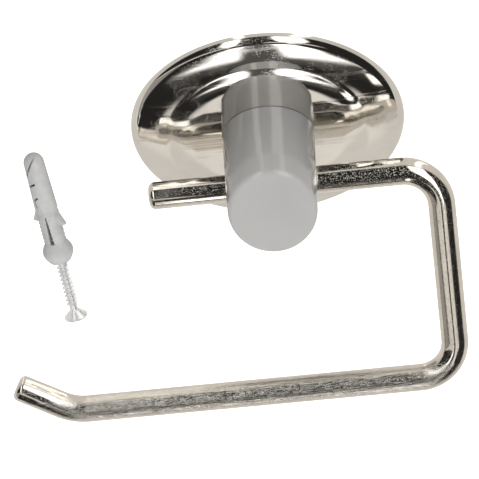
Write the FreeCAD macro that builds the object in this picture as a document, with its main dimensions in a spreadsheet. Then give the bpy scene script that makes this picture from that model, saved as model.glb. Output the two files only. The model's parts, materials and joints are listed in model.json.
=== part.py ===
"""Wall-mounted toilet paper holder: round rosette, plastic post and a swinging bent wire.

Frame: millimetres, +Z up, the wall is the plane Y = 0 and the holder stands out along -Y.
The origin is the centre of the rosette's back, on the axis of the wall screw.
The wire is drawn swung forward; its other parts keep the same values at any swing.
"""
import FreeCAD, Part
import Sketcher
import math
import os
from FreeCAD import Placement, Rotation, Vector

SIZES = {
    # rosette: pressed sheet with a flat middle, a soft shoulder, a shallow valley and a rolled lip
    "rosette_dia": 80.0,
    "rosette_height": 5.0,
    "sheet_wall": 1.2,
    "rim_width": 18.0,
    "flat_step": 1.9,
    "shoulder_radius": 30.0,
    "shoulder_slope": 12.0,
    "valley_radius": 14.0,
    "valley_slope": 2.0,
    "skirt_height": 0.6,
    # hub on the wall, its rubber pad and the ring behind the rosette
    "hub_dia": 19.9,
    "hub_reach": 12.0,
    "flange_dia": 32.0,
    "flange_wall": 1.5,
    "pad_wall": 0.8,
    "ring_inset": 1.0,
    "slip_gap": 0.1,
    "assembly_gap": 0.3,
    # post
    "post_base_dia": 27.2,
    "post_nose_dia": 25.8,
    "post_reach": 33.6,
    "nose_slant": 20.5,
    "nose_round": 1.2,
    "nose_wall": 3.2,
    "core_dia": 17.0,
    # wire
    "wire_dia": 8.0,
    "wire_standoff": 17.0,
    "wire_below": 7.6,
    "wire_left": 36.4,
    "wire_right": 48.3,
    "wire_drop": 64.0,
    "bar_length": 115.2,
    "bend_radius": 11.0,
    "tip_run": 18.6,
    "tip_rise": 29.5,
    "tip_radius": 17.0,
    "end_round": 1.8,
    "wire_swing": 36.0,
    "bore_gap": 0.06,
    # neck in the wire and the keeper that holds it
    "neck_dia": 6.0,
    "neck_width": 2.0,
    "keeper_gap": 0.15,
    # grub screw and its insert, under the post
    "grub_dia": 4.0,
    "grub_socket": 2.0,
    "grub_station": 8.6,
    "grub_recess": 0.5,
    "insert_dia": 5.6,
    "dimple_depth": 1.0,
    # wall screw and wall plug, laid beside the holder
    "screw_dia": 3.5,
    "screw_length": 40.0,
    "screw_head_dia": 7.0,
    "screw_tip_dia": 0.6,
    "screw_play": 0.35,
    "recess_width": 1.0,
    "recess_span": 4.2,
    "recess_depth": 1.8,
    "plug_dia": 6.6,
    "plug_length": 35.0,
    "plug_collar_dia": 9.0,
    "plug_collar_length": 8.0,
    "plug_bore_depth": 28.0,
    "plug_slot": 1.2,
    "plug_slot_near": 10.5,
    "plug_slot_far": 32.2,
    "plug_barb_height": 0.4,
    "plug_barb_length": 1.7,
    "plug_barb_first": 14.0,
    "plug_barb_pitch": 6.0,
    "screw_showing": 18.8,
    "laid_lean": 27.5,
    "laid_turn": 5.7,
    "laid_along": 63.0,
    "laid_aside": 63.6,
    "laid_height": 3.5,
}

doc = FreeCAD.newDocument("ToiletPaperHolder")
sheet = doc.addObject("Spreadsheet::Sheet", "Sizes")
for row, (alias, value) in enumerate(SIZES.items(), start=1):
    sheet.set("A%d" % row, alias)
    sheet.set("B%d" % row, str(value))
    sheet.setAlias("B%d" % row, alias)
doc.recompute()

NODES = []


def size(alias):
    """A driving dimension, read back from the sheet."""
    return float(getattr(sheet, alias))


def tie(obj, **rules):
    """Bind properties to the sheet; a double underscore in a name stands for a dot."""
    for name, rule in rules.items():
        obj.setExpression(name.replace("__", "."), rule)


def node(obj, label):
    """Name the object that becomes one node of the assembly."""
    obj.Label = label
    NODES.append(obj)
    return obj


def new_body(label):
    return node(doc.addObject("PartDesign::Body", "Body_" + label), label)


def new_sketch(body, name, role="XY_Plane"):
    sketch = body.newObject("Sketcher::SketchObject", name)
    plane = [f for f in body.Origin.OriginFeatures if f.Role == role][0]
    sketch.AttachmentSupport = [(plane, "")]
    sketch.MapMode = "FlatFace"
    return sketch


def dimension(sketch, rule, *what):
    """Add a driving dimension and bind it to the sheet."""
    index = sketch.addConstraint(Sketcher.Constraint(*what))
    sketch.setExpression("Constraints[%d]" % index, rule)


def turned(body, name, corners, cut=False):
    """Revolve a closed profile about the wall axis.

    Each corner is (radius rule, reach rule), where the reach is measured away from the wall.
    """
    sketch = new_sketch(body, name + "Profile")
    values = [(evaluate(r), evaluate(y)) for r, y in corners]
    count = len(corners)
    for i in range(count):
        a = values[i]
        b = values[(i + 1) % count]
        sketch.addGeometry(Part.LineSegment(Vector(a[0], -a[1], 0), Vector(b[0], -b[1], 0)), False)
    for i in range(count):
        sketch.addConstraint(Sketcher.Constraint("Coincident", i, 2, (i + 1) % count, 1))
    for i, (radius, reach) in enumerate(corners):
        if values[i][0] == 0:
            sketch.addConstraint(Sketcher.Constraint("PointOnObject", i, 1, -2))
        else:
            dimension(sketch, radius, "DistanceX", -1, 1, i, 1, values[i][0])
        if values[i][1] == 0:
            sketch.addConstraint(Sketcher.Constraint("PointOnObject", i, 1, -1))
        else:
            dimension(sketch, reach, "DistanceY", i, 1, -1, 1, values[i][1])
    kind = "PartDesign::Groove" if cut else "PartDesign::Revolution"
    feature = body.newObject(kind, name)
    feature.Profile = sketch
    feature.ReferenceAxis = (sketch, ["V_Axis"])
    feature.Angle = 360
    return feature


def evaluate(rule):
    """The value of a sheet rule, for a sketch's first guess."""
    if rule == "0":
        return 0.0
    return float(sheet.evalExpression(rule))


def cylinder(name, radius, length, origin, direction):
    """A Part cylinder whose start and axis are plain vectors; its sizes follow the sheet."""
    solid = doc.addObject("Part::Cylinder", name)
    tie(solid, Radius=radius, Height=length)
    solid.Placement = Placement(origin, Rotation(Vector(0, 0, 1), direction))
    return solid


def slab(name, x_rules, y_rules, z_rules):
    """A Part box between low and high rules on each axis."""
    solid = doc.addObject("Part::Box", name)
    sides = zip(("Length", "Width", "Height"), "xyz", (x_rules, y_rules, z_rules))
    for side, axis, (low, high) in sides:
        solid.setExpression(side, "%s - (%s)" % (high, low))
        solid.setExpression("Placement.Base." + axis, low)
    return solid


def cut(name, base, *tools):
    for i, tool in enumerate(tools):
        step = doc.addObject("Part::Cut", "%s%d" % (name, i))
        step.Base = base
        step.Tool = tool
        base = step
    return base


def fuse(name, *solids):
    joined = doc.addObject("Part::MultiFuse", name)
    joined.Shapes = list(solids)
    return joined


def rim_at(shape, point):
    """Name of the closed edge whose centre is nearest a point."""
    closed = [i for i, edge in enumerate(shape.Edges) if edge.Closed]
    nearest = min(closed, key=lambda i: shape.Edges[i].CenterOfMass.distanceToPoint(point))
    return "Edge%d" % (nearest + 1)


OUT = Vector(0, -1, 0)
DOWN = Vector(0, 0, -1)
ALONG = Vector(1, 0, 0)


# ---------------------------------------------------------------- rosette

FLAT = "(Sizes.rosette_dia / 2 - Sizes.rim_width)"
EYE = "Sizes.hub_dia / 2 + Sizes.assembly_gap"
PAST_FRONT = "Sizes.rosette_height + Sizes.sheet_wall"
LIP = "(Sizes.rosette_height - Sizes.skirt_height - Sizes.flat_step)"


def rim_chain(offset):
    """Edge, front and arcs of the pressed outline, moved inwards by offset.

    Every slope is measured from the flat. The brow is the arc that meets both
    the valley's end and the lip's circle, so its radius follows from the rest.
    """
    edge = size("rosette_dia") / 2 - offset
    front = size("rosette_height") - offset
    flat = evaluate(FLAT)
    shoulder = size("shoulder_radius") - offset
    valley = size("valley_radius") + offset
    lip = evaluate(LIP) - offset
    skirt = size("skirt_height")
    steep = math.radians(size("shoulder_slope"))
    shallow = math.radians(size("valley_slope"))
    x1 = flat + shoulder * math.sin(steep)
    y1 = -front + shoulder * (1 - math.cos(steep))
    x2 = x1 + valley * (math.sin(steep) - math.sin(shallow))
    y2 = y1 + valley * (math.cos(shallow) - math.cos(steep))
    normal = Vector(math.sin(shallow), -math.cos(shallow), 0)
    lip_centre = Vector(edge - lip, -skirt, 0)
    gap = Vector(x2, y2, 0) - lip_centre
    brow = (gap.Length ** 2 - lip ** 2) / (2 * (gap.dot(normal) - lip))
    brow_centre = Vector(x2, y2, 0) - normal * brow
    towards = lip_centre - brow_centre
    brow_slope = math.atan2(towards.x, -towards.y)
    return {
        "edge": edge, "front": front, "flat": flat, "skirt": skirt,
        "shoulder": (Vector(flat, -front + shoulder, 0), shoulder, 0.0, steep),
        "valley": (Vector(x1 + valley * math.sin(steep), y1 - valley * math.cos(steep), 0),
                   valley, steep, shallow),
        "brow": (brow_centre, brow, shallow, brow_slope),
        "lip": (lip_centre, lip, brow_slope, math.pi / 2),
    }


def rim_sketch(body, name, offset, rule):
    """The closed half outline of the rosette: 4 tangent arcs between flat and skirt."""
    chain = rim_chain(offset)
    sketch = new_sketch(body, name)
    edge, front, flat, skirt = (chain[k] for k in ("edge", "front", "flat", "skirt"))

    def line(x1, y1, x2, y2):
        return sketch.addGeometry(Part.LineSegment(Vector(x1, y1, 0), Vector(x2, y2, 0)), False)

    def arc(key, turn):
        centre, radius, start, stop = chain[key]
        ring = Part.Circle(centre, Vector(0, 0, 1), radius)
        low, high = sorted((start, stop))
        return sketch.addGeometry(Part.ArcOfCircle(ring, turn + low, turn + high), False)

    convex = -math.pi / 2
    face = line(0, -front, flat, -front)
    shoulder = arc("shoulder", convex)
    valley = arc("valley", math.pi / 2)
    brow = arc("brow", convex)
    lip = arc("lip", convex)
    wall = line(edge, -skirt, edge, 0)
    foot = line(edge, 0, 0, 0)
    axis = line(0, 0, 0, -front)

    def add(*what):
        sketch.addConstraint(Sketcher.Constraint(*what))

    add("Coincident", foot, 2, axis, 1)
    add("Coincident", axis, 1, -1, 1)
    add("Coincident", axis, 2, face, 1)
    add("Coincident", wall, 2, foot, 1)
    add("Vertical", axis)
    add("Horizontal", foot)
    add("Horizontal", face)
    add("Vertical", wall)
    add("Tangent", face, 2, shoulder, 1)
    add("Tangent", shoulder, 2, valley, 2)
    add("Tangent", valley, 1, brow, 1)
    add("Tangent", brow, 2, lip, 1)
    add("Tangent", lip, 2, wall, 1)
    steep = "sin(Sizes.shoulder_slope * 1deg)"
    shallow = "sin(Sizes.valley_slope * 1deg)"
    first = FLAT + " + (Sizes.shoulder_radius - %s) * %s" % (rule, steep)
    second = "%s + (Sizes.valley_radius + %s) * (%s - %s)" % (first, rule, steep, shallow)
    dimension(sketch, "Sizes.rosette_height - " + rule, "DistanceY", face, 2, -1, 1, front)
    dimension(sketch, FLAT, "DistanceX", -1, 1, face, 2, flat)
    dimension(sketch, "Sizes.rosette_dia / 2 - " + rule, "DistanceX", -1, 1, wall, 1, edge)
    dimension(sketch, "Sizes.skirt_height", "DistanceY", wall, 1, -1, 1, skirt)
    dimension(sketch, LIP + " - " + rule, "Radius", lip, chain["lip"][1])
    dimension(sketch, "Sizes.shoulder_radius - " + rule, "Radius", shoulder, chain["shoulder"][1])
    dimension(sketch, "Sizes.valley_radius + " + rule, "Radius", valley, chain["valley"][1])
    joint_1 = chain["valley"][0].x - chain["valley"][1] * math.sin(chain["valley"][2])
    joint_2 = chain["valley"][0].x - chain["valley"][1] * math.sin(chain["valley"][3])
    dimension(sketch, first, "DistanceX", -1, 1, shoulder, 2, joint_1)
    dimension(sketch, second, "DistanceX", -1, 1, valley, 1, joint_2)
    return sketch


def build_rosette():
    body = new_body("rosette")
    dome = body.newObject("PartDesign::Revolution", "RosetteDome")
    dome.Profile = rim_sketch(body, "RosetteOutside", 0.0, "0")
    dome.ReferenceAxis = (dome.Profile[0], ["V_Axis"])
    dome.Angle = 360
    hollow = body.newObject("PartDesign::Groove", "RosetteHollow")
    hollow.Profile = rim_sketch(body, "RosetteInside", size("sheet_wall"), "Sizes.sheet_wall")
    hollow.ReferenceAxis = (hollow.Profile[0], ["V_Axis"])
    hollow.Angle = 360
    turned(body, "RosetteEye", [("0", "0"), (EYE, "0"), (EYE, PAST_FRONT), ("0", PAST_FRONT)], cut=True)


# ---------------------------------------------------------------- wall side

FLANGE_FRONT = "Sizes.pad_wall + Sizes.flange_wall"
SCREW_HOLE = "Sizes.screw_dia / 2 + Sizes.screw_play"
COUNTERSINK = "Sizes.screw_head_dia / 2 + Sizes.assembly_gap - (" + SCREW_HOLE + ")"


def build_ring():
    """Plastic washer between the hub's flange and the flat of the rosette."""
    body = new_body("backing_ring")
    outer = FLAT + " - Sizes.ring_inset"
    back = FLANGE_FRONT
    front = "Sizes.rosette_height - Sizes.sheet_wall"
    turned(body, "RingBody", [(EYE, back), (outer, back), (outer, front), (EYE, front)])


def build_pad():
    """Rubber pad between the hub and the wall."""
    body = new_body("grip_pad")
    outer = "Sizes.flange_dia / 2"
    front = "Sizes.pad_wall"
    turned(body, "PadBody", [(SCREW_HOLE, "0"), (outer, "0"), (outer, front), (SCREW_HOLE, front)])


def build_hub():
    """Hub that the wall screw holds: flange, spigot and countersunk hole."""
    body = new_body("wall_hub")
    spigot = "Sizes.hub_dia / 2"
    turned(body, "HubBody", [
        (SCREW_HOLE, "Sizes.pad_wall"),
        ("Sizes.flange_dia / 2", "Sizes.pad_wall"),
        ("Sizes.flange_dia / 2", FLANGE_FRONT),
        (spigot, FLANGE_FRONT),
        (spigot, "Sizes.hub_reach"),
        (SCREW_HOLE + " + " + COUNTERSINK, "Sizes.hub_reach"),
        (SCREW_HOLE, "Sizes.hub_reach - (" + COUNTERSINK + ")"),
    ])
    dimple = new_sketch(body, "DimpleProfile", "YZ_Plane")
    station = -size("grub_station")
    rim = -size("hub_dia") / 2
    depth = size("dimple_depth")
    corners = [Vector(station, rim + depth, 0), Vector(station, rim - depth, 0),
               Vector(station + 2 * depth, rim - depth, 0)]
    for i in range(3):
        dimple.addGeometry(Part.LineSegment(corners[i], corners[(i + 1) % 3]), False)
    for i in range(3):
        dimple.addConstraint(Sketcher.Constraint("Coincident", i, 2, (i + 1) % 3, 1))
    dimple.addConstraint(Sketcher.Constraint("Vertical", 0))
    dimple.addConstraint(Sketcher.Constraint("Horizontal", 1))
    dimension(dimple, "Sizes.grub_station", "DistanceX", 0, 1, -1, 1, -station)
    dimension(dimple, "Sizes.hub_dia / 2 - Sizes.dimple_depth", "DistanceY", 0, 1, -1, 1, -rim - depth)
    dimension(dimple, "2 * Sizes.dimple_depth", "DistanceY", 0, 2, 0, 1, 2 * depth)
    dimension(dimple, "2 * Sizes.dimple_depth", "DistanceX", 1, 1, 1, 2, 2 * depth)
    cone = body.newObject("PartDesign::Groove", "GrubDimple")
    cone.Profile = dimple
    cone.ReferenceAxis = (dimple, ["Edge1"])
    cone.Angle = 360


# ---------------------------------------------------------------- post

CAVITY = "Sizes.hub_dia / 2 + Sizes.slip_gap"
BORE = "Sizes.wire_dia / 2 + Sizes.bore_gap"
CAVITY_FRONT = "Sizes.wire_standoff + Sizes.wire_dia / 2 + Sizes.keeper_gap"


def nose_knife(name, behind):
    """A block in front of the slanted plane that lies `behind` the nose, along the axis."""
    span = 3 * size("post_base_dia")
    knife = doc.addObject("Part::Box", name)
    tie(knife, Length="3 * Sizes.post_base_dia", Width="3 * Sizes.post_base_dia",
        Height="3 * Sizes.post_base_dia")
    lean = Rotation(Vector(1, 0, 0), 90 - size("nose_slant"))
    centred = Placement(Vector(-span / 2, -span / 2, 0), Rotation())
    knife.Placement = Placement(Vector(0, -size("post_reach") + behind, 0), lean).multiply(centred)
    return knife


def build_post():
    """Hollow post: open at the wall, closed by a slanted nose, crossed by the wire's bore."""
    base = size("rosette_height")
    blank = doc.addObject("Part::Cone", "PostBlank")
    overrun = "Sizes.post_base_dia / 2"
    reach = "(Sizes.post_reach - Sizes.rosette_height)"
    taper = "(Sizes.post_base_dia - Sizes.post_nose_dia) / 2 / " + reach
    tie(blank, Radius1="Sizes.post_base_dia / 2",
        Radius2="Sizes.post_base_dia / 2 - (%s) * (%s + %s)" % (taper, reach, overrun),
        Height="%s + %s" % (reach, overrun))
    blank.Placement = Placement(Vector(0, -base, 0), Rotation(Vector(0, 0, 1), OUT))
    outside = cut("PostOutside", blank, nose_knife("NoseKnife", 0.0))
    doc.recompute()
    rounded = doc.addObject("Part::Fillet", "PostRounded")
    rounded.Base = outside
    rim = max(range(len(outside.Shape.Edges)), key=lambda i: slant_score(outside.Shape.Edges[i]))
    rounded.Edges = [(rim + 1, size("nose_round"), size("nose_round"))]
    origin = Vector(0, -base, 0)
    cavity = cylinder("PostCavity", CAVITY, CAVITY_FRONT + " - Sizes.rosette_height", origin, OUT)
    core = cylinder("PostCore", "Sizes.core_dia / 2", "Sizes.post_reach + Sizes.core_dia", origin, OUT)
    core = cut("PostCoreTrimmed", core, nose_knife("CoreKnife", size("nose_wall") / math.cos(
        math.radians(size("nose_slant")))))
    hinge = hinge_point()
    half = size("post_base_dia")
    bore = cylinder("WireBore", BORE, "2 * Sizes.post_base_dia", hinge - ALONG * half, ALONG)
    seat = cylinder("InsertSeat", "Sizes.insert_dia / 2", "Sizes.post_base_dia", grub_point(0), DOWN)
    post = cut("Post", rounded, cavity, core, bore, seat)
    node(post, "post")


def slant_score(edge):
    """How far an edge stands from the wall: the nose's rim scores highest."""
    return -edge.CenterOfMass.y


def hinge_point():
    return Vector(0, -size("wire_standoff"), -size("wire_below"))


def grub_point(depth):
    """A point on the grub screw's axis, `depth` below the post's axis."""
    return Vector(0, -size("grub_station"), -depth)


def post_radius(reach):
    """Rule for the post's outside radius at a distance from the wall."""
    share = "(%s - Sizes.rosette_height) / (Sizes.post_reach - Sizes.rosette_height)" % reach
    return "(Sizes.post_base_dia + (Sizes.post_nose_dia - Sizes.post_base_dia) * %s) / 2" % share


GRUB_OUTER = post_radius("Sizes.grub_station") + " - Sizes.grub_recess"
GRUB_RADIUS = "Sizes.grub_dia / 2 - Sizes.bore_gap"
GRUB_FLAT = "Sizes.grub_dia / 20"
GRUB_TIP = "Sizes.hub_dia / 2 - Sizes.dimple_depth + 2 * Sizes.bore_gap + " + GRUB_FLAT
INSERT_LENGTH = GRUB_OUTER + " - (" + CAVITY + " + Sizes.slip_gap)"


def build_insert():
    """Brass insert for the grub screw, pressed into the post from below."""
    top = grub_point(evaluate(GRUB_OUTER) - evaluate(INSERT_LENGTH))
    sleeve = cylinder("InsertSleeve", "Sizes.insert_dia / 2", INSERT_LENGTH, top, DOWN)
    hole = cylinder("InsertHole", "Sizes.grub_dia / 2", INSERT_LENGTH, top, DOWN)
    node(cut("Insert", sleeve, hole), "grub_insert")


def build_grub():
    """Cone-point grub screw that locks the post on the hub."""
    tip = evaluate(GRUB_TIP)
    cone_height = "%s - %s" % (GRUB_RADIUS, GRUB_FLAT)
    point = doc.addObject("Part::Cone", "GrubPoint")
    tie(point, Radius1=GRUB_FLAT, Radius2=GRUB_RADIUS, Height=cone_height)
    point.Placement = Placement(grub_point(tip), Rotation(Vector(0, 0, 1), DOWN))
    shank_length = "%s - (%s) - (%s)" % (GRUB_OUTER, GRUB_TIP, cone_height)
    shank = cylinder("GrubShank", GRUB_RADIUS, shank_length,
                     grub_point(tip + evaluate(cone_height)), DOWN)
    socket = doc.addObject("Part::Prism", "GrubSocket")
    socket.Polygon = 6
    tie(socket, Circumradius="Sizes.grub_socket / 2 / cos(30deg)", Height="Sizes.grub_socket")
    socket.Placement = Placement(grub_point(evaluate(GRUB_OUTER) - size("grub_socket")),
                                 Rotation(Vector(0, 0, 1), DOWN))
    node(cut("Grub", fuse("GrubSolid", shank, point), socket), "grub_screw")


# ---------------------------------------------------------------- wire

def build_wire():
    """Round wire bent in one plane, with a turned neck where it crosses the post."""
    body = new_body("wire_arm")
    path = new_sketch(body, "WirePath", "XZ_Plane")
    left = -size("wire_left")
    right = size("wire_right")
    drop = size("wire_drop")
    lift = math.radians(size("tip_rise"))
    toe = right - size("bar_length")
    run = size("tip_run")
    corners = [Vector(left, 0, 0), Vector(right, 0, 0), Vector(right, -drop, 0),
               Vector(toe, -drop, 0),
               Vector(toe - run * math.cos(lift), -drop + run * math.sin(lift), 0)]
    bends = ["bend_radius", "bend_radius", "tip_radius"]
    cuts = []
    for i, alias in enumerate(bends, start=1):
        back = (corners[i - 1] - corners[i]).normalize()
        ahead = (corners[i + 1] - corners[i]).normalize()
        reach = size(alias) / math.tan(back.getAngle(ahead) / 2)
        middle = corners[i] + (back + ahead).normalize() * math.hypot(reach, size(alias))
        cuts.append((corners[i] + back * reach, corners[i] + ahead * reach, middle))
    starts = [corners[0]] + [c[1] for c in cuts]
    stops = [c[0] for c in cuts] + [corners[-1]]
    lines = [path.addGeometry(Part.LineSegment(a, b), False) for a, b in zip(starts, stops)]
    arcs = []
    for (a, b, middle), alias in zip(cuts, bends):
        ring = Part.Circle(middle, Vector(0, 0, 1), size(alias))
        begin = math.atan2(b.y - middle.y, b.x - middle.x)
        end = math.atan2(a.y - middle.y, a.x - middle.x)
        arcs.append(path.addGeometry(Part.ArcOfCircle(ring, begin, end), False))
    for i, arc in enumerate(arcs):
        path.addConstraint(Sketcher.Constraint("Tangent", lines[i], 2, arc, 2))
        path.addConstraint(Sketcher.Constraint("Tangent", arc, 1, lines[i + 1], 1))
        dimension(path, "Sizes." + bends[i], "Radius", arc, size(bends[i]))
    path.addConstraint(Sketcher.Constraint("PointOnObject", lines[0], 1, -1))
    path.addConstraint(Sketcher.Constraint("Horizontal", lines[0]))
    path.addConstraint(Sketcher.Constraint("Vertical", lines[1]))
    path.addConstraint(Sketcher.Constraint("Horizontal", lines[2]))
    dimension(path, "Sizes.wire_left", "DistanceX", lines[0], 1, -1, 1, -left)
    dimension(path, "Sizes.wire_right", "DistanceX", -1, 1, lines[1], 1, right)
    dimension(path, "Sizes.wire_drop", "DistanceY", lines[2], 1, -1, 1, drop)
    setback = "Sizes.tip_radius * tan(Sizes.tip_rise * 1deg / 2)"
    dimension(path, "Sizes.bar_length - Sizes.wire_right - " + setback, "DistanceX",
              lines[2], 2, -1, 1, -cuts[2][0].x)
    straight = "(Sizes.tip_run - %s)" % setback
    rise = "%s * sin(Sizes.tip_rise * 1deg)" % straight
    ahead = "%s * cos(Sizes.tip_rise * 1deg)" % straight
    tail = stops[3] - starts[3]
    dimension(path, rise, "DistanceY", lines[3], 1, lines[3], 2, tail.y)
    dimension(path, ahead, "DistanceX", lines[3], 2, lines[3], 1, -tail.x)
    section = new_sketch(body, "WireSection", "YZ_Plane")
    section.AttachmentOffset = Placement(Vector(0, 0, left), Rotation())
    section.setExpression("AttachmentOffset.Base.z", "-Sizes.wire_left")
    rim = section.addGeometry(Part.Circle(Vector(), Vector(0, 0, 1), size("wire_dia") / 2), False)
    section.addConstraint(Sketcher.Constraint("Coincident", rim, 3, -1, 1))
    dimension(section, "Sizes.wire_dia / 2", "Radius", rim, size("wire_dia") / 2)
    pipe = body.newObject("PartDesign::AdditivePipe", "WirePipe")
    pipe.Profile = section
    pipe.Spine = (path, ["Edge%d" % (i + 1) for i in range(7)])
    doc.recompute()
    tips = [Vector(corner.x, 0, corner.y) for corner in (corners[0], corners[-1])]
    rounding = body.newObject("PartDesign::Fillet", "WireEnds")
    rounding.Base = (pipe, [rim_at(pipe.Shape, tip) for tip in tips])
    tie(rounding, Radius="Sizes.end_round")
    neck = new_sketch(body, "NeckProfile", "XZ_Plane")
    half = size("neck_width") / 2
    low = size("neck_dia") / 2
    high = size("wire_dia")
    corners = [Vector(-half, low, 0), Vector(half, low, 0), Vector(half, high, 0),
               Vector(-half, high, 0)]
    for i in range(4):
        neck.addGeometry(Part.LineSegment(corners[i], corners[(i + 1) % 4]), False)
    for i in range(4):
        neck.addConstraint(Sketcher.Constraint("Coincident", i, 2, (i + 1) % 4, 1))
    neck.addConstraint(Sketcher.Constraint("Horizontal", 0))
    neck.addConstraint(Sketcher.Constraint("Horizontal", 2))
    neck.addConstraint(Sketcher.Constraint("Vertical", 1))
    neck.addConstraint(Sketcher.Constraint("Vertical", 3))
    dimension(neck, "Sizes.neck_width / 2", "DistanceX", 0, 1, -1, 1, half)
    dimension(neck, "Sizes.neck_width", "DistanceX", 0, 1, 0, 2, 2 * half)
    dimension(neck, "Sizes.neck_dia / 2", "DistanceY", -1, 1, 0, 1, low)
    dimension(neck, "Sizes.wire_dia", "DistanceY", -1, 1, 2, 1, high)
    turn = body.newObject("PartDesign::Groove", "WireNeck")
    turn.Profile = neck
    turn.ReferenceAxis = (neck, ["H_Axis"])
    turn.Angle = 360
    body.Placement = Placement(hinge_point(), Rotation(ALONG, -size("wire_swing")))
    tie(body, Placement__Base__y="-Sizes.wire_standoff", Placement__Base__z="-Sizes.wire_below")


def build_keeper():
    """Nylon keeper behind the wire: its tongue runs in the neck and stops the wire sliding out."""
    axis_reach = "-Sizes.wire_standoff"
    axis_level = "-Sizes.wire_below"
    wide = ("-Sizes.hub_dia", "Sizes.hub_dia")
    far = "-Sizes.post_reach"
    start = Vector(0, -size("hub_reach") - size("keeper_gap"), 0)
    puck = cylinder("KeeperPuck", CAVITY + " - Sizes.keeper_gap",
                    CAVITY_FRONT + " - Sizes.hub_reach - 2 * Sizes.keeper_gap", start, OUT)
    side = hinge_point() - ALONG * size("hub_dia")
    channel = cylinder("KeeperChannel", BORE + " + Sizes.keeper_gap", "2 * Sizes.hub_dia", side, ALONG)
    mouth = slab("KeeperMouth", wide, (far, axis_reach),
                 ("-Sizes.hub_dia", axis_level + " + " + BORE + " + Sizes.keeper_gap"))
    under = slab("KeeperUnder", wide, (far, "0"), ("-Sizes.hub_dia", axis_level))
    block = cut("KeeperBlock", puck, channel, mouth, under)
    inset = size("neck_width") / 2 - size("keeper_gap")
    disc = cylinder("TongueDisc", BORE + " + 2 * Sizes.keeper_gap",
                    "Sizes.neck_width - 2 * Sizes.keeper_gap", hinge_point() - ALONG * inset, ALONG)
    eye = cylinder("TongueEye", "Sizes.neck_dia / 2 + Sizes.keeper_gap", "2 * Sizes.hub_dia", side, ALONG)
    fore = slab("TongueFore", wide, (far, axis_reach), ("-Sizes.post_reach", "Sizes.post_reach"))
    aft = slab("TongueAft", wide, ("-Sizes.hub_reach - Sizes.keeper_gap", "0"), wide)
    tongue = cut("Tongue", disc, eye, fore, aft, under)
    node(fuse("Keeper", block, tongue), "wire_keeper")


# ---------------------------------------------------------------- laid fixings

def laid_place():
    """The mouth of the wall plug, with +Z running out of it along the screw.

    The fixings lie on the plane that the rosette's upper edge and the swung wire rest on.
    """
    lean = math.radians(size("laid_lean"))
    down = Vector(0, -math.sin(lean), -math.cos(lean))
    out = Vector(0, -math.cos(lean), math.sin(lean))
    corner = Vector(-size("laid_aside"), 0, size("rosette_dia") / 2)
    mouth = corner + down * size("laid_along") + out * size("laid_height")
    turn = math.radians(size("laid_turn"))
    axis = down * math.cos(turn) + ALONG * math.sin(turn)
    return Placement(mouth, Rotation(out.cross(axis), out, axis, "ZXY"))


def lay(obj):
    """Move a fixing, built along its own +Z, to where it lies."""
    obj.Placement = laid_place().multiply(obj.Placement)
    return obj


def upright(name, radius, length, low):
    """A cylinder on the fixing's own axis, from a height rule."""
    solid = doc.addObject("Part::Cylinder", name)
    tie(solid, Radius=radius, Height=length, Placement__Base__z=low)
    return solid


def frustum(name, low_radius, high_radius, length, low):
    solid = doc.addObject("Part::Cone", name)
    tie(solid, Radius1=low_radius, Radius2=high_radius, Height=length, Placement__Base__z=low)
    return solid


def build_plug():
    """Nylon wall plug: bored sleeve with a collar, barbs and crossing slots."""
    body = "Sizes.plug_dia / 2"
    collar = "Sizes.plug_collar_dia / 2"
    nose = "Sizes.plug_dia / 4"
    sleeve = upright("PlugSleeve", body, "Sizes.plug_length - " + nose, "-Sizes.plug_length + " + nose)
    tip = frustum("PlugTip", nose, body, nose, "-Sizes.plug_length")
    half = "Sizes.plug_collar_length / 2"
    swell_low = frustum("PlugSwellLow", body, collar, half, "-Sizes.plug_collar_length")
    swell_high = frustum("PlugSwellHigh", collar, body, half, "-" + half)
    solids = [sleeve, tip, swell_low, swell_high]
    for i in range(3):
        station = "-Sizes.plug_barb_first - %d * Sizes.plug_barb_pitch" % i
        crest = body + " + Sizes.plug_barb_height"
        solids.append(frustum("PlugBarb%d" % i, crest, body, "Sizes.plug_barb_length", station))
    bore = upright("PlugBore", "Sizes.screw_dia / 2 + Sizes.slip_gap", "Sizes.plug_bore_depth",
                   "-Sizes.plug_bore_depth")
    slots = []
    for name, wide, deep in (("PlugSlotA", "Sizes.plug_slot", "2 * Sizes.plug_dia"),
                             ("PlugSlotB", "2 * Sizes.plug_dia", "Sizes.plug_slot")):
        slots.append(slab(name, ("-%s / 2" % wide, "%s / 2" % wide), ("-%s / 2" % deep, "%s / 2" % deep),
                          ("-Sizes.plug_slot_far", "-Sizes.plug_slot_near")))
    node(lay(cut("Plug", fuse("PlugSolid", *solids), bore, *slots)), "wall_plug")


def build_screw():
    """Countersunk wall screw, started in the plug."""
    showing = "Sizes.screw_showing"
    sink = "(Sizes.screw_head_dia - Sizes.screw_dia) / 2"
    shank = upright("ScrewShank", "Sizes.screw_dia / 2",
                    "Sizes.screw_length - Sizes.screw_dia - " + sink,
                    "%s - Sizes.screw_length + Sizes.screw_dia" % showing)
    point = frustum("ScrewPoint", "Sizes.screw_tip_dia / 2", "Sizes.screw_dia / 2", "Sizes.screw_dia",
                    "%s - Sizes.screw_length" % showing)
    head = frustum("ScrewHead", "Sizes.screw_dia / 2", "Sizes.screw_head_dia / 2", sink,
                   "%s - %s" % (showing, sink))
    span = "Sizes.recess_span / 2"
    wide = "Sizes.recess_width / 2"
    depth = ("%s - Sizes.recess_depth" % showing, showing)
    arms = [slab("RecessA", ("-" + span, span), ("-" + wide, wide), depth),
            slab("RecessB", ("-" + wide, wide), ("-" + span, span), depth)]
    node(lay(cut("Screw", fuse("ScrewSolid", shank, point, head), *arms)), "wall_screw")


# ---------------------------------------------------------------- build, check and write

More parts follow.
